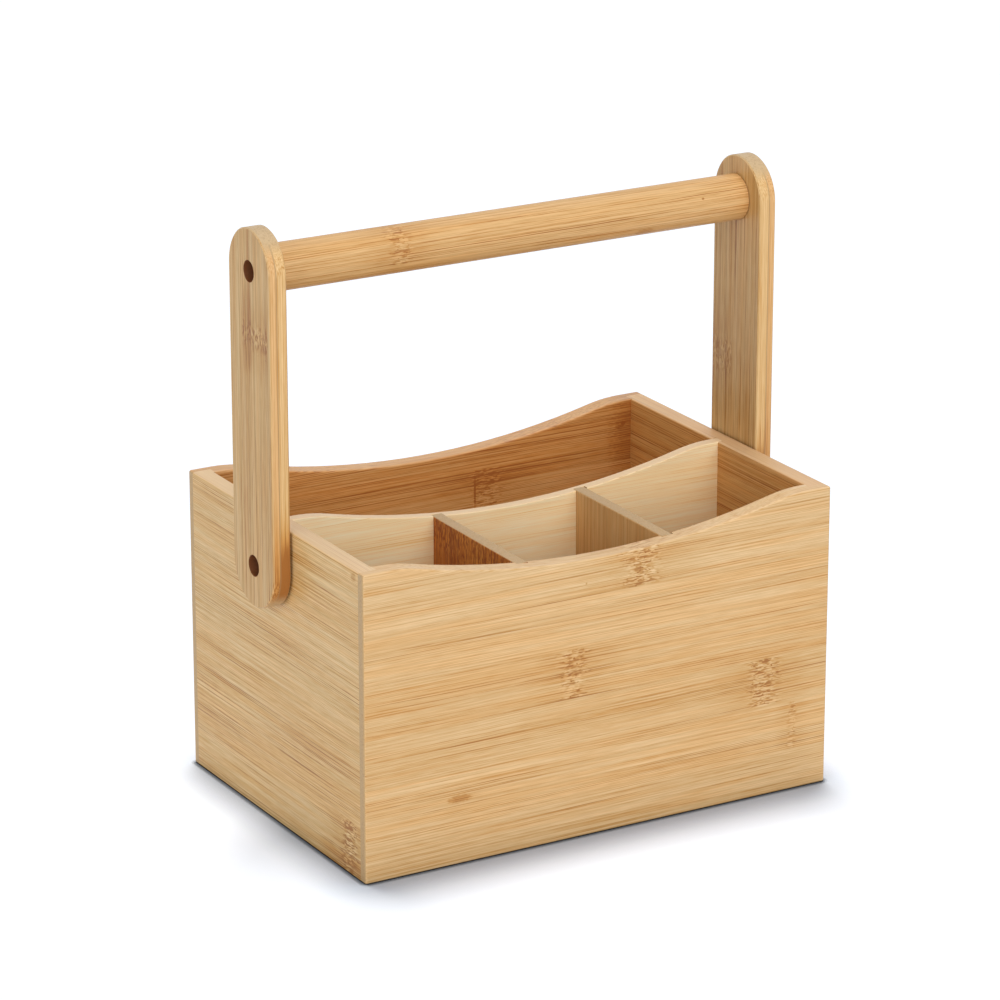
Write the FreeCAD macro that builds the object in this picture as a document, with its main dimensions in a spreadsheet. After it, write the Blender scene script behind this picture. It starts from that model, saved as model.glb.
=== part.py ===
import FreeCAD
import Part
import Sketcher
import math
import os
import re
from FreeCAD import Placement, Rotation, Vector

# Bamboo utensil caddy: a glued box with one long and three short compartments, and a
# swinging carry handle made of two arms and a round grip bar.
#
# The front and back panels are rabbeted at their ends and lap the end panels, the base
# sits in a groove all round, and the dividers are housed in dadoes. Each arm turns on the
# plain shank of a screw driven through the end panel into the long divider. The front and
# back panels and the long divider share one wavy top edge.
#
# Frame: +X right along the box, +Y to the back, +Z up. The origin is on the table under
# the middle of the box, and the handle stands upright. Lengths are millimetres.

SIZES = {
    # box
    "box_length": 225.0,
    "box_depth": 156.0,
    "box_height": 134.0,
    "panel_thickness": 8.5,
    "corner_lip": 4.0,
    "arris_radius": 1.0,
    "foot_chamfer": 0.5,
    # wavy top edge
    "shoulder_length": 10.5,
    "wave_dip": 11.8,
    "crest_radius": 70.0,
    # base
    "base_thickness": 4.0,
    "base_lift": 5.0,
    "base_groove_depth": 3.0,
    # dividers
    "long_divider_thickness": 5.0,
    "cross_divider_thickness": 5.5,
    "cross_divider_spacing": 70.0,
    "housing_depth": 2.5,
    "glue_clearance": 0.1,
    "divider_arris_radius": 0.6,
    # handle
    "arm_width": 36.0,
    "arm_thickness": 8.0,
    "arm_edge_chamfer": 0.5,
    "arm_gap": 1.0,
    "handle_reach": 126.4,
    "pivot_below_rim": 18.0,
    "bar_diameter": 20.0,
    "bar_end_chamfer": 0.5,
    # counterbored screw holes in the arms
    "counterbore_diameter": 9.2,
    "counterbore_web": 2.0,
    "running_clearance": 0.05,
    # screws
    "screw_head_diameter": 7.6,
    "screw_head_height": 1.4,
    "screw_head_edge": 0.5,
    "screw_head_float": 0.15,
    "screw_shank_diameter": 4.0,
    "screw_core_diameter": 3.0,
    "screw_length": 16.0,
    "screw_point_length": 2.5,
    "recess_span": 4.0,
    "recess_slot": 0.9,
    "recess_depth": 1.0,
}

# Places that follow from the sizes, as formulas over the sheet's names.
HALF_LENGTH = "box_length / 2"
HALF_DEPTH = "box_depth / 2"
INNER_X = "(box_length / 2 - panel_thickness)"
INNER_Y = "(box_depth / 2 - panel_thickness)"
HALF_SPAN = "(box_length / 2 - shoulder_length)"
TROUGH_RADIUS = "(({0}^2 + wave_dip^2) / (2 * wave_dip) - crest_radius)".format(HALF_SPAN)
BASE_TOP = "(base_lift + base_thickness)"
TONGUE = "(housing_depth - glue_clearance)"
DIVIDER_HALF_LENGTH = "({0} + {1})".format(INNER_X, TONGUE)
CROSS_DIVIDER_TOP = (
    "(box_height - wave_dip + {0} - sqrt({0}^2 - cross_divider_spacing^2 / 4))"
).format(TROUGH_RADIUS)
ARM_INNER_X = "(box_length / 2 + arm_gap)"
PIVOT_HEIGHT = "(box_height - pivot_below_rim)"
GRIP_HEIGHT = "({0} + handle_reach)".format(PIVOT_HEIGHT)
PIVOT_SHANK = "(counterbore_web + arm_gap + screw_head_float)"

TOLERANCE = 1e-5

doc = FreeCAD.newDocument("utensil_caddy")
sheet = doc.addObject("Spreadsheet::Sheet", "Sizes")
for row, (alias, size) in enumerate(SIZES.items(), start=1):
    sheet.set("A{0}".format(row), alias.replace("_", " "))
    sheet.set("B{0}".format(row), str(size))
    sheet.setAlias("B{0}".format(row), alias)
doc.recompute()


def formula(text):
    """The text with each size written as a reference to its cell in the sheet."""
    def reference(match):
        word = match.group()
        return "Sizes." + word if word in SIZES else word
    return re.sub("[a-z_]+", reference, text)


def value(text):
    """The number that a formula gives now."""
    return float(sheet.evalExpression(formula(text)))


def bind(thing, property_name, text):
    thing.setExpression(property_name, formula(text))


# ---- sketches and features ------------------------------------------------------------

def new_body(node):
    body = doc.addObject("PartDesign::Body", node)
    body.Label = node
    return body


def place(thing, x="0", y="0", z="0", turned=False):
    """Put a sub-part at a place in the caddy, turned half way round +Z or not."""
    angle = 180 if turned else 0
    thing.Placement = Placement(Vector(), Rotation(Vector(0, 0, 1), angle))
    for axis, text in (("x", x), ("y", y), ("z", z)):
        bind(thing, "Placement.Base." + axis, text)


def new_sketch(body, plane, offset="0"):
    """A sketch on one of the body's own origin planes, moved along its normal."""
    sketch = body.newObject("Sketcher::SketchObject", body.Name + "_sketch")
    support = next(f for f in body.Origin.OriginFeatures if f.Role == plane)
    sketch.AttachmentSupport = (support, [""])
    sketch.MapMode = "FlatFace"
    bind(sketch, "AttachmentOffset.Base.z", offset)
    return sketch


def dimension(sketch, kind, *where, text):
    """A dimensional constraint whose size comes from a formula."""
    index = sketch.addConstraint(Sketcher.Constraint(kind, *where, value(text)))
    bind(sketch, "Constraints[{0}]".format(index), text)


def fix_point(sketch, edge, end, x, y):
    """Dimension one end of an edge from the sketch's origin."""
    dimension(sketch, "DistanceX", -1, 1, edge, end, text=x)
    dimension(sketch, "DistanceY", -1, 1, edge, end, text=y)


def draw_polygon(sketch, *corners):
    """A closed outline of straight lines through corners given as pairs of formulas."""
    points = [Vector(value(x), value(y), 0) for x, y in corners]
    ends = points[1:] + points[:1]
    edges = [sketch.addGeometry(Part.LineSegment(*pair)) for pair in zip(points, ends)]
    for edge, following in zip(edges, edges[1:] + edges[:1]):
        sketch.addConstraint(Sketcher.Constraint("Coincident", edge, 2, following, 1))
    for edge, (x, y) in zip(edges, corners):
        fix_point(sketch, edge, 1, x, y)


def draw_rectangle(sketch, left, right, low, high):
    draw_polygon(sketch, (left, low), (right, low), (right, high), (left, high))


def draw_circle(sketch, x, y, diameter):
    circle = Part.Circle(Vector(value(x), value(y), 0), Vector(0, 0, 1), value(diameter) / 2)
    edge = sketch.addGeometry(circle)
    fix_point(sketch, edge, 3, x, y)
    dimension(sketch, "Diameter", edge, text=diameter)


def arc(sketch, centre, radius, start, end):
    """Add an anticlockwise arc between two angles in radians."""
    circle = Part.Circle(Vector(centre[0], centre[1], 0), Vector(0, 0, 1), radius)
    return sketch.addGeometry(Part.ArcOfCircle(circle, start, end))


def line(sketch, start, end):
    return sketch.addGeometry(Part.LineSegment(Vector(*start, 0), Vector(*end, 0)))


def extrude(body, kind, sketch, length, reverse=False, symmetric=False):
    """A Pad or a Pocket of a sketch; a Pocket that removes nothing is an error."""
    before = body.Tip.Shape.Volume if body.Tip else 0.0
    feature = body.newObject("PartDesign::" + kind, body.Name + "_" + kind.lower())
    feature.Profile = sketch
    feature.Reversed = reverse
    feature.SideType = "Symmetric" if symmetric else "One side"
    bind(feature, "Length", length)
    doc.recompute()
    change = feature.Shape.Volume - before
    if (change < 0) != (kind == "Pocket") or abs(change) < TOLERANCE:
        raise RuntimeError("{0} changed the volume by {1}".format(feature.Name, change))
    return feature


def at(low, high, *places):
    """Whether an edge's extent along one axis lies at one of these places."""
    return any(abs(low - p) < TOLERANCE and abs(high - p) < TOLERANCE for p in places)


def dress_edges(body, kind, size, wanted):
    """Fillet or Chamfer those edges of the body so far whose extents the test picks."""
    base = body.Tip
    names = []
    for number, edge in enumerate(base.Shape.Edges, start=1):
        if wanted(edge.BoundBox):
            names.append("Edge{0}".format(number))
    dressing = body.newObject("PartDesign::" + kind, body.Name + "_" + kind.lower())
    dressing.Base = (base, names)
    bind(dressing, "Radius" if kind == "Fillet" else "Size", size)
    doc.recompute()


# ---- the wavy top edge ----------------------------------------------------------------

def draw_wave_outline(sketch, half_length, bottom):
    """A panel seen from the front: shoulders, two crest arcs and one long trough arc.

    The arcs meet tangentially, and the dip is dimensioned to the lowest point of the
    trough, which lies on the middle line.
    """
    half = value(half_length)
    foot = value(bottom)
    rim = value("box_height")
    span = value(HALF_SPAN)
    dip = value("wave_dip")
    crest = value("crest_radius")
    trough = value(TROUGH_RADIUS)
    turn = 2 * math.atan2(dip, span)
    up = math.pi / 2

    base = line(sketch, (-half, foot), (half, foot))
    right = line(sketch, (half, foot), (half, rim))
    right_shoulder = line(sketch, (half, rim), (span, rim))
    right_crest = arc(sketch, (span, rim - crest), crest, up, up + turn)
    hollow = arc(sketch, (0, rim - dip + trough), trough, 3 * up - turn, 3 * up + turn)
    left_crest = arc(sketch, (-span, rim - crest), crest, up - turn, up)
    left_shoulder = line(sketch, (-span, rim), (-half, rim))
    left = line(sketch, (-half, rim), (-half, foot))
    lowest = sketch.addGeometry(Part.Point(Vector(0, rim - dip, 0)), True)

    sketch.addConstraint([
        Sketcher.Constraint("Coincident", base, 2, right, 1),
        Sketcher.Constraint("Coincident", right, 2, right_shoulder, 1),
        Sketcher.Constraint("Tangent", right_shoulder, 2, right_crest, 1),
        Sketcher.Constraint("Tangent", right_crest, 2, hollow, 2),
        Sketcher.Constraint("Tangent", hollow, 1, left_crest, 1),
        Sketcher.Constraint("Tangent", left_crest, 2, left_shoulder, 1),
        Sketcher.Constraint("Coincident", left_shoulder, 2, left, 1),
        Sketcher.Constraint("Coincident", left, 2, base, 1),
        Sketcher.Constraint("Horizontal", right_shoulder),
        Sketcher.Constraint("Vertical", right),
        Sketcher.Constraint("Vertical", left),
        Sketcher.Constraint("Equal", right_crest, left_crest),
        Sketcher.Constraint("Symmetric", base, 1, base, 2, -2),
        Sketcher.Constraint("Symmetric", right_crest, 1, left_crest, 2, -2),
        Sketcher.Constraint("PointOnObject", lowest, 1, -2),
        Sketcher.Constraint("PointOnObject", lowest, 1, hollow),
    ])
    fix_point(sketch, base, 2, half_length, bottom)
    fix_point(sketch, right_crest, 1, HALF_SPAN, "box_height")
    dimension(sketch, "Radius", right_crest, text="crest_radius")
    dimension(sketch, "DistanceY", lowest, 1, right_crest, 1, text="wave_dip")


# ---- box ------------------------------------------------------------------------------

def make_long_panel(node, side, housed):
    """The front (side -1) or back (side +1) panel, its inner face at local y = 0."""
    body = new_body(node)
    outline = new_sketch(body, "XZ_Plane")
    draw_wave_outline(outline, HALF_LENGTH, "0")
    extrude(body, "Pad", outline, "panel_thickness")

    half = value(HALF_LENGTH)
    face = -value("panel_thickness")
    rim = value("box_height")

    def arris(box):
        if box.ZMax < TOLERANCE:
            return False
        along = box.XMax - box.XMin > TOLERANCE
        end_rim = at(box.XMin, box.XMax, -half, half) and at(box.ZMin, box.ZMax, rim)
        return at(box.YMin, box.YMax, face) or end_rim or along

    dress_edges(body, "Fillet", "arris_radius", arris)
    dress_edges(body, "Chamfer", "foot_chamfer", lambda box: (
        at(box.ZMin, box.ZMax, 0) and not at(box.YMin, box.YMax, 0)))

    for left, right in ((INNER_X, HALF_LENGTH), ("-" + HALF_LENGTH, "-" + INNER_X)):
        rabbet = new_sketch(body, "XY_Plane")
        draw_rectangle(rabbet, left, right, "corner_lip - panel_thickness", "0")
        extrude(body, "Pocket", rabbet, "box_height", reverse=True)

    groove = new_sketch(body, "XZ_Plane")
    draw_rectangle(groove, "-" + INNER_X, INNER_X, "base_lift", BASE_TOP)
    extrude(body, "Pocket", groove, "base_groove_depth", reverse=True)

    if housed:
        dadoes = new_sketch(body, "XZ_Plane")
        draw_cross_housings(dadoes)
        extrude(body, "Pocket", dadoes, "housing_depth", reverse=True)

    place(body, y="{0} * {1}".format(side, INNER_Y), turned=side > 0)
    return body


def draw_cross_housings(sketch):
    """The two upright housings that take the edges of the cross dividers."""
    for side in ("-", ""):
        middle = side + "cross_divider_spacing / 2"
        left = middle + " - cross_divider_thickness / 2"
        right = middle + " + cross_divider_thickness / 2"
        draw_rectangle(sketch, left, right, BASE_TOP, "box_height")


def make_end_panel(node, side):
    """The left (side -1) or right (side +1) end panel, its inner face at local x = 0."""
    half_width = "({0} - corner_lip)".format(HALF_DEPTH)
    body = new_body(node)
    outline = new_sketch(body, "YZ_Plane")
    draw_rectangle(outline, "-" + half_width, half_width, "0", "box_height")
    extrude(body, "Pad", outline, "panel_thickness")

    thickness = value("panel_thickness")
    rim = value("box_height")
    dress_edges(body, "Fillet", "arris_radius", lambda box: (
        at(box.XMin, box.XMax, thickness) and at(box.ZMin, box.ZMax, rim)))
    dress_edges(body, "Chamfer", "foot_chamfer", lambda box: (
        at(box.XMin, box.XMax, thickness) and at(box.ZMin, box.ZMax, 0)))

    # The inner rim is rounded only between the long panels, not inside the rabbets.
    cove = new_sketch(body, "XZ_Plane")
    draw_arris_waste(cove)
    extrude(body, "Pocket", cove, "2 * " + INNER_Y, symmetric=True)

    groove = new_sketch(body, "YZ_Plane")
    draw_rectangle(groove, "-" + half_width, half_width, "base_lift", BASE_TOP)
    extrude(body, "Pocket", groove, "base_groove_depth", reverse=True)

    dado = new_sketch(body, "YZ_Plane")
    half_dado = "long_divider_thickness / 2"
    draw_rectangle(dado, "-" + half_dado, half_dado, BASE_TOP, "box_height")
    extrude(body, "Pocket", dado, "housing_depth", reverse=True)

    pilot = new_sketch(body, "YZ_Plane")
    draw_circle(pilot, "0", PIVOT_HEIGHT, "screw_core_diameter")
    extrude(body, "Pocket", pilot, "panel_thickness", reverse=True)

    place(body, x="{0} * {1}".format(side, INNER_X), turned=side < 0)
    return body


def draw_arris_waste(sketch):
    """What rounding takes off the corner at x = 0 and the rim: two lines and an arc."""
    rim = value("box_height")
    radius = value("arris_radius")
    top = line(sketch, (radius, rim), (0, rim))
    side = line(sketch, (0, rim), (0, rim - radius))
    round_off = arc(sketch, (radius, rim - radius), radius, math.pi / 2, math.pi)
    sketch.addConstraint([
        Sketcher.Constraint("Coincident", top, 2, side, 1),
        Sketcher.Constraint("Tangent", top, 1, round_off, 1),
        Sketcher.Constraint("Tangent", side, 2, round_off, 2),
        Sketcher.Constraint("Horizontal", top),
        Sketcher.Constraint("Vertical", side),
    ])
    fix_point(sketch, top, 2, "0", "box_height")
    dimension(sketch, "Radius", round_off, text="arris_radius")


def make_base_panel():
    """A plain board held in the grooves of all four panels."""
    board = doc.addObject("Part::Box", "base_panel")
    board.Label = "base_panel"
    tongue = " + base_groove_depth - glue_clearance"
    half_x = "({0}{1})".format(INNER_X, tongue)
    half_y = "({0}{1})".format(INNER_Y, tongue)
    bind(board, "Length", "2 * " + half_x)
    bind(board, "Width", "2 * " + half_y)
    bind(board, "Height", "base_thickness")
    place(board, x="-" + half_x, y="-" + half_y, z="base_lift")
    return board


def make_long_divider():
    """The wavy divider along the box, housed in both end panels."""
    body = new_body("long_divider")
    outline = new_sketch(body, "XZ_Plane")
    draw_wave_outline(outline, DIVIDER_HALF_LENGTH, BASE_TOP)
    extrude(body, "Pad", outline, "long_divider_thickness", symmetric=True)

    floor = value(BASE_TOP)
    face = value("long_divider_thickness") / 2
    dress_edges(body, "Fillet", "divider_arris_radius", lambda box: (
        at(box.YMin, box.YMax, -face, face) and box.ZMin > floor + TOLERANCE))

    dadoes = new_sketch(body, "XZ_Plane", "long_divider_thickness / 2")
    draw_cross_housings(dadoes)
    extrude(body, "Pocket", dadoes, "housing_depth")

    in_divider = "screw_length - {0} - panel_thickness + {1}".format(PIVOT_SHANK, TONGUE)
    for side in ("-", ""):
        pilot = new_sketch(body, "YZ_Plane", side + DIVIDER_HALF_LENGTH)
        draw_circle(pilot, "0", PIVOT_HEIGHT, "screw_core_diameter")
        extrude(body, "Pocket", pilot, in_divider, reverse=side == "-")
    return body


def make_cross_divider(node, side):
    """A short divider from the front panel to the long divider, upright grain."""
    front = "-({0} + {1})".format(INNER_Y, TONGUE)
    back = "-(long_divider_thickness / 2 - {0})".format(TONGUE)
    body = new_body(node)
    outline = new_sketch(body, "YZ_Plane")
    draw_rectangle(outline, front, back, BASE_TOP, CROSS_DIVIDER_TOP)
    extrude(body, "Pad", outline, "cross_divider_thickness", symmetric=True)

    top = value(CROSS_DIVIDER_TOP)
    face = value("cross_divider_thickness") / 2
    dress_edges(body, "Fillet", "divider_arris_radius", lambda box: (
        at(box.XMin, box.XMax, -face, face) and at(box.ZMin, box.ZMax, top)))
    place(body, x="{0} * cross_divider_spacing / 2".format(side))
    return body


# ---- handle ---------------------------------------------------------------------------

def make_arm(node, side):
    """A round-ended arm; the pivot is at the local origin, the inner face at x = 0."""
    half = value("arm_width") / 2
    reach = value("handle_reach")
    body = new_body(node)
    outline = new_sketch(body, "YZ_Plane")
    front = line(outline, (-half, reach), (-half, 0))
    back = line(outline, (half, 0), (half, reach))
    foot = arc(outline, (0, 0), half, math.pi, 2 * math.pi)
    head = arc(outline, (0, reach), half, 0, math.pi)
    outline.addConstraint([
        Sketcher.Constraint("Tangent", front, 2, foot, 1),
        Sketcher.Constraint("Tangent", foot, 2, back, 1),
        Sketcher.Constraint("Tangent", back, 2, head, 1),
        Sketcher.Constraint("Tangent", head, 2, front, 1),
        Sketcher.Constraint("Vertical", front),
        Sketcher.Constraint("Vertical", back),
        Sketcher.Constraint("Coincident", foot, 3, -1, 1),
    ])
    dimension(outline, "DistanceX", front, 2, back, 1, text="arm_width")
    dimension(outline, "DistanceY", foot, 3, head, 3, text="handle_reach")
    extrude(body, "Pad", outline, "arm_thickness")

    thickness = value("arm_thickness")
    dress_edges(body, "Chamfer", "arm_edge_chamfer", lambda box: (
        at(box.XMin, box.XMax, 0, thickness)))

    centres = new_sketch(body, "YZ_Plane", "arm_thickness")
    for height in ("0", "handle_reach"):
        draw_circle(centres, "0", height, "screw_shank_diameter + 2 * running_clearance")
    doc.recompute()
    hole = body.newObject("PartDesign::Hole", node + "_screw_holes")
    hole.Profile = centres
    hole.DepthType = "ThroughAll"
    hole.HoleCutType = "Counterbore"
    hole.HoleCutCustomValues = True
    bind(hole, "Diameter", "screw_shank_diameter + 2 * running_clearance")
    bind(hole, "HoleCutDiameter", "counterbore_diameter")
    bind(hole, "HoleCutDepth", "arm_thickness - counterbore_web")
    doc.recompute()

    place(body, x="{0} * {1}".format(side, ARM_INNER_X), z=PIVOT_HEIGHT, turned=side < 0)
    return body


def make_grip_bar():
    """A round bar between the arms, drilled at both ends for the grip screws."""
    length = "2 * " + ARM_INNER_X
    body = new_body("grip_bar")
    section = new_sketch(body, "YZ_Plane")
    draw_circle(section, "0", "0", "bar_diameter")
    extrude(body, "Pad", section, length, symmetric=True)

    end = value(ARM_INNER_X)
    dress_edges(body, "Chamfer", "bar_end_chamfer", lambda box: (
        at(box.XMin, box.XMax, -end, end)))

    for side in ("-", ""):
        pilot = new_sketch(body, "YZ_Plane", side + ARM_INNER_X)
        draw_circle(pilot, "0", "0", "screw_core_diameter")
        extrude(body, "Pocket", pilot, "screw_length - counterbore_web", reverse=side == "-")
    place(body, z=GRIP_HEIGHT)
    return body


# ---- screws ---------------------------------------------------------------------------

def make_screw(node, side, shank, x, height):
    """A wafer-head screw along -X, the underside of its head at the local origin."""
    head = "screw_head_diameter / 2"
    core = "screw_core_diameter / 2"
    body = new_body(node)
    section = new_sketch(body, "XZ_Plane")
    draw_polygon(
        section,
        ("screw_head_height", "0"),
        ("screw_head_height", head + " - screw_head_edge"),
        ("screw_head_height - screw_head_edge", head),
        ("0", head),
        ("0", "screw_shank_diameter / 2"),
        ("-" + shank, "screw_shank_diameter / 2"),
        ("-" + shank, core),
        ("screw_point_length - screw_length", core),
        ("-screw_length", "0"),
    )
    turning = body.newObject("PartDesign::Revolution", node + "_turning")
    turning.Profile = section
    turning.ReferenceAxis = (section, ["H_Axis"])
    turning.Angle = 360
    doc.recompute()

    recess = new_sketch(body, "YZ_Plane", "screw_head_height")
    draw_cross(recess, "recess_span / 2", "recess_slot / 2")
    extrude(body, "Pocket", recess, "recess_depth")
    place(body, x="{0} * {1}".format(side, x), z=height, turned=side < 0)
    return body


def draw_cross(sketch, arm, half_slot):
    """The outline of a cross recess: twelve corners, four at each step inwards."""
    near = half_slot
    far = arm
    quarter = [(far, near), (near, near), (near, far)]
    corners = []
    for turn_x, turn_y, order in (("", "", 1), ("-", "", -1), ("-", "-", 1), ("", "-", -1)):
        corners += [(turn_x + x, turn_y + y) for x, y in quarter[::order]]
    draw_polygon(sketch, *corners)


# ---- the caddy ------------------------------------------------------------------------

nodes = [
    make_long_panel("front_panel", -1, housed=True),
    make_long_panel("back_panel", 1, housed=False),
    make_end_panel("left_end_panel", -1),
    make_end_panel("right_end_panel", 1),
    make_base_panel(),
    make_long_divider(),
    make_cross_divider("left_cross_divider", -1),
    make_cross_divider("right_cross_divider", 1),
    make_grip_bar(),
]
for name, side in (("left", -1), ("right", 1)):
    pivot_head = "({0} + {1} - arm_gap)".format(ARM_INNER_X, PIVOT_SHANK)
    grip_head = "({0} + counterbore_web)".format(ARM_INNER_X)
    nodes += [
        make_arm(name + "_handle_arm", side),
        make_screw(name + "_pivot_screw", side, PIVOT_SHANK, pivot_head, PIVOT_HEIGHT),
        make_screw(name + "_grip_screw", side, "counterbore_web", grip_head, GRIP_HEIGHT),
    ]
doc.recompute()

for thing in doc.Objects:
    if "Invalid" in thing.State or "Error" in thing.State:
        raise RuntimeError("{0} failed: {1}".format(thing.Name, thing.State))
for node in nodes:
    if node.Shape.isNull() or not node.Shape.isValid():
        raise RuntimeError("{0} has no valid shape".format(node.Label))

os.makedirs("parts", exist_ok=True)
for node in nodes:
    node.Shape.exportStep("parts/{0}.step".format(node.Label))
    print("{0}: {1:.0f} mm3".format(node.Label, node.Shape.Volume))
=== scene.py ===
import math

import bpy
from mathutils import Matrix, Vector


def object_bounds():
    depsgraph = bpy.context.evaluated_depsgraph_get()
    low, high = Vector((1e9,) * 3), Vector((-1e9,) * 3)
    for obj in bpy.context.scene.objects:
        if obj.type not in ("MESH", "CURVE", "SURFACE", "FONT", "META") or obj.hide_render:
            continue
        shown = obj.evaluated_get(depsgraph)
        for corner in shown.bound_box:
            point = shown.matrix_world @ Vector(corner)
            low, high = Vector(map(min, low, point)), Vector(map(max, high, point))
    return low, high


# Looks of the bamboo utensil caddy: every CAD node keeps its shape and gets a procedural
# bamboo or steel material, laid out in millimetres in the frame of the part.

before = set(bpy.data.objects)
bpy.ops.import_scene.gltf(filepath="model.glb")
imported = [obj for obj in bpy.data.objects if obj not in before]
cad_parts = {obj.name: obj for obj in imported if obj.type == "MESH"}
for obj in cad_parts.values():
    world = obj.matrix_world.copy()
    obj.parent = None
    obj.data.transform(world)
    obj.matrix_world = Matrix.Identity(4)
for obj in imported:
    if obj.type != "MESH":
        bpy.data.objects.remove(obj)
cad_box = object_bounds()

MM = 0.001
AXES = {"x": 0, "y": 1, "z": 2}

# The camera for a square picture: its place in metres, its turn and dip in degrees, and its
# lens and sensor in mm.
CAMERA_PLACE = (-0.9374, -1.6132, 0.7551)
CAMERA_TURN = 30.055
CAMERA_DIP = 18.685
CAMERA_LENS = 166.75
CAMERA_SENSOR = 36.0

# Edge-glued strips: their height, the first glue line over the table, and half the width of a
# glue line, in mm.
STRIP = 21.9
HALF_STRIP = STRIP / 2
FIRST_GLUE_LINE = 18.7
GLUE_HALF_WIDTH = 0.35

# How strips differ: how far each one's fibres are moved along and across, in mm, and how much
# they slope. All fibres also drift a little, over the lengths of DRIFT_PITCH.
STRIP_SLIDE = 700.0
STRIP_SHIFT = 90.0
STRIP_SLOPE = 0.012
DRIFT = 0.7
DRIFT_PITCH = (70.0, 26.0, 26.0)

# How far one seed is from the next in the strips' chances and in the fibres' noise.
CHANCE_SEED_STEP = 11.3
FIBRE_SEED_STEP = 9.7

# Layers of fibres: how long and how wide their features are, in mm, and their noise's detail.
BANDS = (260.0, 6.0, 0.0)
THREADS = (110.0, 1.6, 1.0)
FINE_FIBRES = (80.0, 0.36, 0.0)
DASHES = (9.0, 0.40, 1.0)
CROWDS = (200.0, 6.0, 1.0)
WARM_PATCHES = (60.0, 3.0, 2.0)

# How dark bamboo is without its layers, and how much each of them changes that. 0 is the
# palest fibre and 1 the darkest. LONE_LINE_DEPTH is the share of a line outside a crowd.
PLAIN_DARKNESS = 0.34
BAND_DEPTH = 0.30
THREAD_DEPTH = 0.10
FINE_FIBRE_DEPTH = 0.74
DASH_DEPTH = 0.50
LINE_DEPTH = 0.18
LONE_LINE_DEPTH = 0.6
GLUE_LINE_DEPTH = 0.14

# The strip from which a board's lean towards darker or paler strips is counted.
LEAN_STRIP = 2.0

# How far apart the features of the smaller marks are, in mm along and across the grain.
RAGGED_PITCH = (14.0, 1.3, 1.3)
STROKE_PITCH = (3.4, 0.8, 0.8)
DOT_PITCH = (1.3, 0.7, 0.7)
WOBBLE_PITCH = (2.0, 0.9, 0.9)
PORE_PITCH = (60.0, 0.8, 0.8)
WEAR_PITCH = (0.5, 0.5, 0.5)

# Between which values of its noise each mark sets in.
LINE_EDGES = (0.52, 0.80)
CROWD_EDGES = (0.38, 0.62)
WARM_EDGES = (0.42, 0.80)
STROKE_EDGES = (0.36, 0.66)
DOT_EDGES = (0.68, 0.82)
PORE_EDGES = (0.4, 0.8)

# A knot's strokes, from the palest to the darkest, its dots, and its halo, which reaches this
# many half lengths from its middle. RAGGEDNESS is how uneven its ends are, in half lengths.
STROKE_DEPTHS = (-0.20, 0.34)
DOT_DEPTH = 0.5
HALO_DEPTH = 0.14
HALO_REACH = 6.0
RAGGEDNESS = 2.6

# Between which shares of its half sizes an eye fades, and a patch of painted shade alike.
SPOT_EDGES = (1.25, 0.45)

# How much of the warm tint the warmest patch takes, and how far strips differ in warmth.
WARM_SHARE = 0.7
STRIP_WARMTH = 0.2

# How much of their darker tone the end grain's pores take.
PORE_SHARE = 0.5

# Between which parts of its normal a surface comes to face an axis.
FACING_EDGES = (0.45, 0.85)

# Tones, as sRGB of 255.
FRONT_TONE = (213, 177, 126)
BACK_TONE = (205, 154, 95)
LEFT_TONE = (213, 181, 127)
RIGHT_TONE = (202, 151, 88)
BASE_TONE = (200, 160, 112)
LONG_DIVIDER_TONE = (255, 233, 190)
LEFT_CROSS_TONE = (196, 124, 46)
RIGHT_CROSS_TONE = (206, 164, 106)
LEFT_ARM_TONE = (200, 166, 113)
RIGHT_ARM_TONE = (198, 163, 108)
INNER_PLY_TONE = (222, 182, 124)
OUTER_PLY_TONE = (218, 172, 114)
BAR_TONE = (206, 162, 104)
SANDED_RIM_AND_TOP_LIGHT_TONE = (236, 204, 163)
END_GRAIN_TONE = (193, 160, 113)
ARM_END_TONE = (202, 173, 131)
END_PORE_TONE = (162, 128, 88)
BORE_SHADE_TONE = (128, 76, 40)
WARM_TINT = (255, 240, 216)
STEEL_TONES = ((150, 148, 142), (186, 184, 178))

# The paler fibre, the usual one, the deeper one and the darkest, as shares of a tone, and how
# dark each one counts.
FIBRE_SHARES = ((1.09, 1.12, 1.20), (1.0, 1.0, 1.0), (0.94, 0.86, 0.70), (0.76, 0.60, 0.40))
FIBRE_PLACES = (0.0, 0.36, 0.66, 1.0)

# The arms are laminated from an inner and an outer ply, which meet this far from the middle
# plane, in mm. Each ply has its tone, and between two heights in mm it takes a painted shade
# down to the foot, by the last number. Its fibres are the board's at PLY_CONTRAST and darker by
# PLY_DARKNESS. The glue seam between the plies fades between two distances in mm.
PLY_SEAM = 118.3
PLY_SOFTNESS = 0.15
PLIES = (
    (INNER_PLY_TONE, 150.0, 104.0, 1.2),
    (OUTER_PLY_TONE, 160.0, 99.0, 0.5),
)
PLY_CONTRAST = 0.6
PLY_DARKNESS = 0.13
GLUE_SEAM_EDGES = (0.5, 0.1)
GLUE_SEAM_SHARE = 0.6

# The arms' counterbores: their radius, and their places along and across the arm, in mm.
# Inside them the wood takes a painted shade.
BORE_RADIUS = 4.6
BORE_EDGE = 0.1
BORES = ((116.0, 0.0), (242.4, 0.0))


def strip_middle(number):
    """The middle height of a strip, counted up from the first glue line."""
    return FIRST_GLUE_LINE + STRIP * (number + 0.5)
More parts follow.
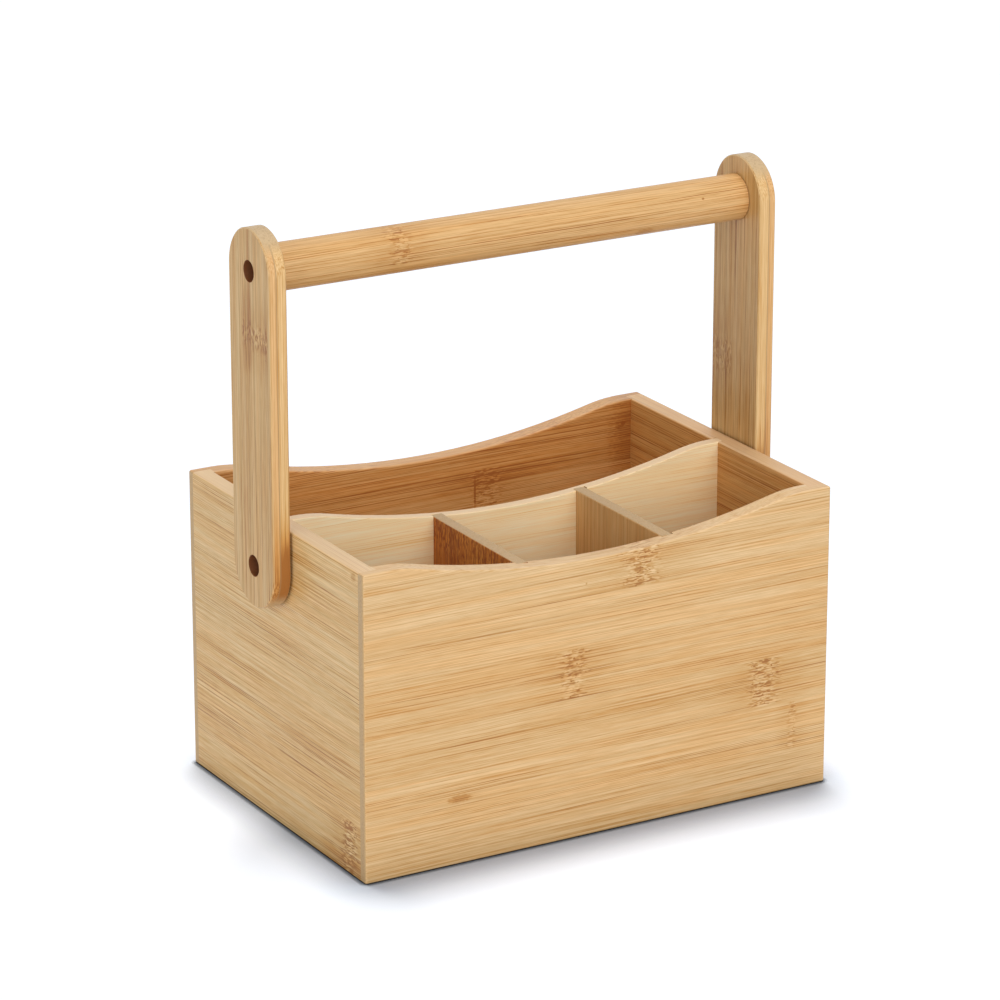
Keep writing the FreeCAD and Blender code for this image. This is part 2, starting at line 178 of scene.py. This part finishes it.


# A knot, an eye or a patch of painted shade: its place along the grain and across it, half its
# length, half its height, and how dark it is. Places and sizes are in mm in the frame of the
# part.
FRONT_KNOTS = (
    (19.0, strip_middle(4), 7.0, HALF_STRIP, 1.2),
    (-14.0, strip_middle(2), 5.0, HALF_STRIP, 1.0),
    (80.0, strip_middle(1), 6.0, HALF_STRIP, 1.25),
    (95.0, strip_middle(0), 1.8, HALF_STRIP, 0.8),
)
FRONT_EYES = (
    (-68.0, 29.0, 6.0, 1.7, 0.45),
    (81.4, 61.0, 2.2, 1.7, 0.45),
    (-8.0, 112.0, 0.5, 0.5, 0.5),
)
BACK_KNOTS = (
    (29.0, 103.0, 6.0, HALF_STRIP, 1.1),
    (-62.0, strip_middle(1), 6.0, HALF_STRIP, 0.8),
    (48.0, strip_middle(2), 5.5, HALF_STRIP, 0.7),
)
# The last of these is no eye but painted shade on the board's right end, by the inner corner.
BACK_EYES_AND_CORNER_SHADE = (
    (99.9, 123.3, 1.2, 1.0, 0.7),
    (97.8, 122.0, 2.0, 0.9, 0.35),
    (23.5, 103.0, 0.6, 8.0, 0.5),
    (107.0, 108.0, 14.0, 60.0, 0.30),
)
LEFT_KNOTS = ((-64.5, 11.0, 5.0, 13.0, 1.8),)
LEFT_EYES = ((-70.0, 131.0, 2.4, 2.0, 0.4), (-46.0, 8.0, 6.0, 1.2, 0.15))
RIGHT_KNOTS = ((22.0, strip_middle(3), 6.0, HALF_STRIP, 0.8),)
LEFT_CROSS_KNOTS = ((126.0, -36.0, 14.0, 40.0, 1.8),)
LEFT_ARM_KNOTS = ((215.8, -4.5, 4.0, 11.5, 1.8),)
RIGHT_ARM_KNOTS = ((169.3, 10.0, 6.5, 8.0, 1.3),)
BAR_KNOTS = ((-56.4, 247.0, 4.2, 9.0, 1.15),)
BAR_EYES = ((90.3, 246.4, 0.7, 0.6, 0.7), (62.5, 235.3, 5.0, 2.0, 0.35))

ARM = dict(grain="z", across="y", strip=4.0, first=-20.0, strip_contrast=0.10, contrast=1.6,
           ply_seam=PLY_SEAM, bores=BORES, end_tone=ARM_END_TONE)

BOARDS = {
    "front_panel": dict(grain="x", across="z", tone=FRONT_TONE, seed=3, knots=FRONT_KNOTS,
                        eyes_and_shade=FRONT_EYES, rim_and_top_light=0.3, strip_contrast=0.16),
    "back_panel": dict(grain="x", across="z", tone=BACK_TONE, seed=5, knots=BACK_KNOTS,
                       eyes_and_shade=BACK_EYES_AND_CORNER_SHADE, rim_and_top_light=0.3, lean=0.08, contrast=1.25),
    "left_end_panel": dict(grain="y", across="z", tone=LEFT_TONE, seed=8, knots=LEFT_KNOTS,
                           eyes_and_shade=LEFT_EYES, rim_and_top_light=0.7, lean=-0.04, strip_contrast=0.14,
                           contrast=1.4),
    "right_end_panel": dict(grain="y", across="z", tone=RIGHT_TONE, seed=9, knots=RIGHT_KNOTS,
                            rim_and_top_light=0.55, contrast=1.25),
    "base_panel": dict(grain="x", across="y", tone=BASE_TONE, seed=14),
    "long_divider": dict(grain="x", across="z", tone=LONG_DIVIDER_TONE, seed=21, contrast=0.5,
                         strip_contrast=0.06, rim_and_top_light=0.9),
    "left_cross_divider": dict(grain="z", across="y", tone=LEFT_CROSS_TONE, seed=27,
                               knots=LEFT_CROSS_KNOTS, contrast=1.2),
    "right_cross_divider": dict(grain="z", across="y", tone=RIGHT_CROSS_TONE, seed=31),
    "left_handle_arm": dict(tone=LEFT_ARM_TONE, seed=37, knots=LEFT_ARM_KNOTS, **ARM),
    "right_handle_arm": dict(tone=RIGHT_ARM_TONE, seed=44, knots=RIGHT_ARM_KNOTS, **ARM),
    "grip_bar": dict(grain="x", across="z", tone=BAR_TONE, seed=51, strip=30.0, first=230.0,
                     knots=BAR_KNOTS, eyes_and_shade=BAR_EYES, contrast=1.4),
}

# The floor: its side and how far it lies below the object, in metres, its paint as sRGB of
# 255, and the glow that only the camera and reflections see, which brings it to white.
FLOOR_SIZE = 24.0
FLOOR_DROP = 0.1 * MM
FLOOR_TONE = (230, 230, 231)
FLOOR_GLOW = (0.185, 0.245, 0.32, 1.0)
# A painted contact shadow darkens the floor close to the object: over which reach in metres,
# and how strongly.
CONTACTS = ((0.0025, 3.0), (0.020, 0.6))
CONTACT_SAMPLES = 4
SKY_STRENGTH = 0.20


def shades(tone):
    """A tone's fibres, from the palest to the darkest."""
    return [[min(255, c * s) for c, s in zip(tone, share)] for share in FIBRE_SHARES]


def linear(tone):
    """An sRGB tone of 255 as the linear colour that a shader socket takes."""
    channels = [c / 255 for c in tone]
    return [c / 12.92 if c <= 0.04045 else ((c + 0.055) / 1.055) ** 2.4 for c in channels] + [1]


# ---- shader graphs --------------------------------------------------------------------

class Graph:
    """A node tree with short calls for the nodes that the materials are made of."""

    def __init__(self, tree):
        self.tree = tree
        tree.nodes.clear()

    def node(self, kind, inputs, **settings):
        made = self.tree.nodes.new("ShaderNode" + kind)
        for name, setting in settings.items():
            setattr(made, name, setting)
        for socket, source in inputs.items():
            if isinstance(source, bpy.types.NodeSocket):
                self.tree.links.new(source, made.inputs[socket])
            else:
                made.inputs[socket].default_value = source
        return made

    def math(self, operation, *terms):
        return self.node("Math", dict(enumerate(terms)), operation=operation).outputs[0]

    def total(self, first, *others):
        for other in others:
            first = self.math("ADD", first, other)
        return first

    def times(self, first, *others):
        for other in others:
            first = self.math("MULTIPLY", first, other)
        return first

    def swing(self, source, depth, middle=0.5):
        """How far a source is from its middle, times a depth."""
        return self.times(self.math("SUBTRACT", source, middle), depth)

    def step(self, source, low, high, start=0.0, end=1.0):
        """A smooth step of the source from low to high."""
        return self.node("MapRange", {
            "Value": source, "From Min": low, "From Max": high, "To Min": start, "To Max": end,
        }, interpolation_type="SMOOTHSTEP").outputs[0]

    def combine(self, x, y, z):
        return self.node("CombineXYZ", {0: x, 1: y, 2: z}).outputs[0]

    def separate(self, vector):
        return self.node("SeparateXYZ", {0: vector}).outputs

    def length(self, vector):
        return self.node("VectorMath", {0: vector}, operation="LENGTH").outputs["Value"]

    def place(self):
        """Where a point lies in the frame of the part, in mm."""
        place = self.node("TexCoord", {}).outputs["Object"]
        return self.node("VectorMath", {0: place, "Scale": 1 / MM}, operation="SCALE").outputs[0]

    def noise(self, vector, pitch, detail=2.0, distortion=0.0):
        """Noise whose features are pitch millimetres apart along each of the three axes."""
        scaled = self.node("VectorMath", {0: vector, 1: pitch}, operation="DIVIDE").outputs[0]
        return self.node("TexNoise", {
            "Vector": scaled, "Scale": 1.0, "Detail": detail, "Distortion": distortion,
        }).outputs["Fac"]

    def ramp(self, source, tones, places):
        made = self.node("ValToRGB", {"Fac": source})
        stops = made.color_ramp.elements
        while len(stops) < len(tones):
            stops.new(0.5)
        for stop, tone, place in zip(stops, tones, places):
            stop.position = place
            stop.color = linear(tone)
        return made.outputs["Color"]

    def mix(self, share, first, second, blend="MIX"):
        made = self.node("Mix", {"Factor": share}, data_type="RGBA", blend_type=blend)
        for socket, colour in ((made.inputs[6], first), (made.inputs[7], second)):
            if isinstance(colour, bpy.types.NodeSocket):
                self.tree.links.new(colour, socket)
            else:
                socket.default_value = linear(colour)
        return made.outputs[2]


def new_material(name):
    material = bpy.data.materials.new(name)
    material.use_nodes = True
    return material, Graph(material.node_tree)


def finish_material(graph, shader):
    output = graph.node("OutputMaterial", {})
    graph.tree.links.new(shader.outputs[0], output.inputs["Surface"])


# ---- bamboo and steel -----------------------------------------------------------------

class Grain:
    """Where a point of a board lies: along the grain, across the strips and through."""

    def __init__(self, graph, grain, across, seed, strip, first):
        self.graph = graph
        self.strip = strip
        parts = graph.separate(graph.place())
        through = ({"x", "y", "z"} - {grain, across}).pop()
        self.along = parts[AXES[grain]]
        self.across = parts[AXES[across]]
        self.through = parts[AXES[through]]
        self.plain = graph.combine(self.along, self.across, self.through)

        self.rise = graph.math("DIVIDE", graph.math("SUBTRACT", self.across, first), strip)
        self.number = graph.math("FLOOR", self.rise)
        chance = graph.node("TexWhiteNoise", {
            "W": graph.math("ADD", self.number, seed * CHANCE_SEED_STEP),
        }, noise_dimensions="1D")
        self.chance = graph.node("SeparateColor", {0: chance.outputs["Color"]}).outputs

        shifted = graph.total(
            self.across,
            graph.times(graph.noise(self.plain, DRIFT_PITCH), DRIFT),
            graph.times(self.along, graph.swing(self.chance[0], STRIP_SLOPE)),
            graph.times(self.chance[1], STRIP_SHIFT))
        self.vector = graph.combine(
            graph.math("ADD", self.along, graph.times(self.chance[2], STRIP_SLIDE)),
            shifted,
            graph.math("ADD", self.through, seed * FIBRE_SEED_STEP))

    def fibres(self, length, width, detail):
        return self.graph.noise(self.vector, (length, width, width), detail)

    def reach(self, place, middle, half_length=1.0, half_height=1.0):
        """How far a point is from a place on the board, in half lengths and half heights."""
        graph = self.graph
        return graph.length(graph.combine(
            graph.math("DIVIDE", graph.math("SUBTRACT", self.along, place), half_length),
            graph.math("DIVIDE", graph.math("SUBTRACT", self.across, middle), half_height),
            0.0))


def knot_darkness(board, knot):
    """How much darker or paler a knuckle makes the bamboo: short strokes, one strip high."""
    graph = board.graph
    place, middle, half_length, half_height, depth = knot
    ragged = graph.swing(graph.noise(board.plain, RAGGED_PITCH, 1.0), half_length * RAGGEDNESS)
    off = graph.math("ABSOLUTE", graph.total(board.along, -place, ragged))
    lengthwise = graph.step(off, half_length * 1.7, half_length * 0.4)
    halo = graph.step(off, half_length * HALO_REACH, half_length, 0.0, HALO_DEPTH)
    rise = graph.math("ABSOLUTE", graph.math("SUBTRACT", board.across, middle))
    upright = graph.step(rise, half_height * 1.02, half_height * 0.92)
    strokes = graph.step(
        graph.noise(board.plain, STROKE_PITCH, 1.0, 0.5), *STROKE_EDGES, *STROKE_DEPTHS)
    dots = graph.step(graph.noise(board.plain, DOT_PITCH, 0.0), *DOT_EDGES, 0.0, DOT_DEPTH)
    marks = graph.times(lengthwise, graph.math("ADD", strokes, dots))
    return graph.times(upright, depth, graph.math("ADD", halo, marks))


def eye_and_shade_darkness(board, spot):
    """A small dark eye in the bamboo, drawn out along the grain; a wide one is painted shade."""
    graph = board.graph
    place, middle, half_length, half_height, depth = spot
    wobble = graph.math("SUBTRACT", graph.noise(board.plain, WOBBLE_PITCH, 1.0), 0.5)
    reach = board.reach(place, middle, half_length, half_height)
    return graph.step(graph.math("ADD", reach, wobble), *SPOT_EDGES, 0.0, depth)


def glue_line(board):
    """Where the glue lines between strips run."""
    graph = board.graph
    off_middle = graph.math("ABSOLUTE", graph.math(
        "SUBTRACT", graph.math("FRACT", board.rise), 0.5))
    return graph.step(off_middle, 0.5 - GLUE_HALF_WIDTH / board.strip, 0.5)


def normal_share(graph, axis, both_ways=True):
    """How squarely the surface faces up an axis, or with both_ways up or down it."""
    normal = graph.node("TexCoord", {}).outputs["Normal"]
    part = graph.separate(normal)[AXES[axis]]
    if both_ways:
        part = graph.math("ABSOLUTE", part)
    return graph.step(part, *FACING_EDGES)


def ply_colour(board, darkness, seam):
    """An arm's edge: its two plies, each with painted shade towards the foot, and the seam
    between.
    """
    graph = board.graph
    fibres = graph.math("ADD", graph.times(darkness, PLY_CONTRAST), PLY_DARKNESS)
    inner, outer = (
        graph.ramp(
            graph.math("ADD", fibres, graph.step(board.along, top, foot, 0.0, painted_foot_shade)),
            shades(tone), FIBRE_PLACES)
        for tone, top, foot, painted_foot_shade in PLIES)
    depth = graph.math("ABSOLUTE", board.through)
    share = graph.step(depth, seam - PLY_SOFTNESS, seam + PLY_SOFTNESS)
    off_seam = graph.math("ABSOLUTE", graph.math("SUBTRACT", depth, seam))
    glue = graph.times(graph.step(off_seam, *GLUE_SEAM_EDGES), GLUE_SEAM_SHARE)
    return graph.mix(glue, graph.mix(share, inner, outer), END_PORE_TONE)


def bamboo(name, grain, across, tone, seed, strip=STRIP, first=FIRST_GLUE_LINE,
           contrast=1.0, strip_contrast=0.22, lean=0.0, knots=(), eyes_and_shade=(), rim_and_top_light=0.0,
           ply_seam=None, bores=(), end_tone=END_GRAIN_TONE):
    """A board of edge-glued bamboo strips, with fibres, knuckles and end grain."""
    material, graph = new_material(name)
    board = Grain(graph, grain, across, seed, strip, first)

    threads = board.fibres(*THREADS)
    fine = board.fibres(*FINE_FIBRES)
    crowd = graph.step(board.fibres(*CROWDS), *CROWD_EDGES)
    lines = graph.times(
        graph.step(fine, *LINE_EDGES), graph.math("ADD", crowd, LONE_LINE_DEPTH))
    darkness = graph.total(
        PLAIN_DARKNESS,
        graph.swing(board.chance[1], strip_contrast),
        graph.swing(board.number, lean, LEAN_STRIP),
        graph.swing(board.fibres(*BANDS), BAND_DEPTH * min(contrast, 1.0)),
        graph.swing(threads, THREAD_DEPTH * contrast),
        graph.swing(fine, FINE_FIBRE_DEPTH * contrast),
        graph.swing(board.fibres(*DASHES), DASH_DEPTH * contrast),
        graph.times(lines, LINE_DEPTH * contrast),
        graph.times(glue_line(board), GLUE_LINE_DEPTH),
        *(knot_darkness(board, knot) for knot in knots),
        *(eye_and_shade_darkness(board, spot) for spot in eyes_and_shade))

    colour = graph.ramp(darkness, shades(tone), FIBRE_PLACES)
    warmth = graph.math(
        "ADD", board.fibres(*WARM_PATCHES), graph.times(board.chance[0], STRIP_WARMTH))
    warm = graph.step(warmth, *WARM_EDGES, 0.0, WARM_SHARE)
    colour = graph.mix(warm, colour, WARM_TINT, "MULTIPLY")
    # Up-facing surfaces turn paler: partly the sanded rims, partly painted top light.
    if rim_and_top_light:
        top = graph.times(normal_share(graph, "z", both_ways=False), rim_and_top_light)
        colour = graph.mix(top, colour, SANDED_RIM_AND_TOP_LIGHT_TONE)
    if ply_seam:
        edge = graph.math("SUBTRACT", 1.0, normal_share(graph, "x"))
        colour = graph.mix(edge, colour, ply_colour(board, darkness, ply_seam))
    pores = graph.step(graph.noise(board.plain, PORE_PITCH, 1.0), *PORE_EDGES)
    end_grain = graph.mix(graph.times(pores, PORE_SHARE), end_tone, END_PORE_TONE)
    colour = graph.mix(normal_share(graph, grain), colour, end_grain)
    # Inside the counterbores the colour turns to painted shade.
    for place, middle in bores:
        inside = graph.step(board.reach(place, middle), BORE_RADIUS + BORE_EDGE, BORE_RADIUS)
        colour = graph.mix(inside, colour, BORE_SHADE_TONE)

    relief = graph.math("SUBTRACT", graph.times(threads, 0.5), lines)
    bump = graph.node("Bump", {"Strength": 0.15, "Distance": 0.05 * MM, "Height": relief})
    shader = graph.node("BsdfPrincipled", {
        "Base Color": colour,
        "Roughness": graph.step(threads, 0.2, 0.8, 0.42, 0.58),
        "Specular IOR Level": 0.35,
        "Coat Weight": 0.12,
        "Coat Roughness": 0.32,
        "Normal": bump.outputs[0],
    })
    finish_material(graph, shader)
    return material


def steel(name):
    """Zinc-plated steel with fine wear in its tone and its roughness."""
    material, graph = new_material(name)
    wear = graph.noise(graph.place(), WEAR_PITCH, 3.0)
    shader = graph.node("BsdfPrincipled", {
        "Base Color": graph.ramp(wear, STEEL_TONES, (0.35, 0.65)),
        "Metallic": 1.0,
        "Roughness": graph.step(wear, 0.3, 0.7, 0.28, 0.45),
    })
    finish_material(graph, shader)
    return material


for node, board in BOARDS.items():
    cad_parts[node].material_slots[0].material = bamboo(node + "_bamboo", **board)

screw_steel = steel("screw_steel_turned")
for node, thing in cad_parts.items():
    if node.endswith("_screw"):
        thing.material_slots[0].material = screw_steel


# ---- floor, light and camera ----------------------------------------------------------

def seen_directly(graph):
    """1 for a ray from the camera or off a glossy or clear surface, and 0 for others."""
    rays = graph.node("LightPath", {}).outputs
    return graph.math("MAXIMUM", rays["Is Camera Ray"], graph.math(
        "MAXIMUM", rays["Is Glossy Ray"], rays["Is Transmission Ray"]))


bpy.ops.mesh.primitive_plane_add(size=FLOOR_SIZE, location=(0, 0, cad_box[0][2] - FLOOR_DROP))
floor = bpy.context.object
floor.name = "floor"
floor_paint, graph = new_material("floor_paint")
# 1 in the open and less close to the object, where a painted contact shadow darkens the paint
# and the glow alike.
openness = graph.times(*(
    graph.math("POWER", graph.node(
        "AmbientOcclusion", {"Distance": reach}, samples=CONTACT_SAMPLES).outputs["AO"], strength)
    for reach, strength in CONTACTS))
paint = graph.node("BsdfDiffuse", {"Color": graph.mix(openness, (0, 0, 0), FLOOR_TONE)})
glow = graph.node("Emission", {"Color": FLOOR_GLOW, "Strength": graph.times(
    seen_directly(graph), openness)})
finish_material(graph, graph.node("AddShader", {0: paint.outputs[0], 1: glow.outputs[0]}))
floor.data.materials.append(floor_paint)

# The sky is white to the camera and in reflections, and lights the scene by SKY_STRENGTH.
world = bpy.data.worlds.new("studio")
bpy.context.scene.world = world
world.use_nodes = True
graph = Graph(world.node_tree)
sky = graph.node("Background", {
    "Color": (1, 1, 1, 1),
    "Strength": graph.step(seen_directly(graph), 0.0, 1.0, SKY_STRENGTH, 1.0),
})
output = graph.node("OutputWorld", {})
graph.tree.links.new(sky.outputs[0], output.inputs["Surface"])


def lights_only(name, link_state):
    """The lit things of a lamp: the floor alone, or all but the floor."""
    lit = bpy.data.collections.new(name)
    lit.objects.link(floor)
    lit.collection_objects[0].light_linking.link_state = link_state
    return lit


def add_lamp(name, source, spread, level, lit):
    """A distant soft light from a direction, spread over degrees of the sky.

    A level of 1 shows a white surface that faces the light as white.
    """
    light = bpy.data.lights.new(name, "SUN")
    light.angle = math.radians(spread)
    light.energy = level * math.pi
    lamp = bpy.data.objects.new(name, light)
    bpy.context.scene.collection.objects.link(lamp)
    lamp.rotation_euler = Vector(source).to_track_quat("Z", "Y").to_euler()
    lamp.light_linking.receiver_collection = lit


# The floor takes its shadow from a lamp of its own, and the object its light from the others.
floor_only = lights_only("floor_only", "INCLUDE")
all_but_floor = lights_only("all_but_floor", "EXCLUDE")
add_lamp("floor_light", (0.045, 0.17, 1.0), 16.0, 0.88, floor_only)
add_lamp("top_light", (0.10, 0.20, 1.0), 40.0, 0.40, all_but_floor)
add_lamp("front_light", (0.0, -0.87, 0.49), 50.0, 0.51, all_but_floor)
add_lamp("side_light", (-0.93, -0.25, 0.26), 50.0, 0.31, all_but_floor)

camera_data = bpy.data.cameras.new("camera")
camera_data.lens = CAMERA_LENS
camera_data.sensor_width = CAMERA_SENSOR
camera = bpy.data.objects.new("camera", camera_data)
camera.location = CAMERA_PLACE
camera.rotation_euler = (math.radians(90 - CAMERA_DIP), 0, math.radians(-CAMERA_TURN))
bpy.context.scene.collection.objects.link(camera)
bpy.context.scene.camera = camera
bpy.context.scene.view_settings.view_transform = "Standard"
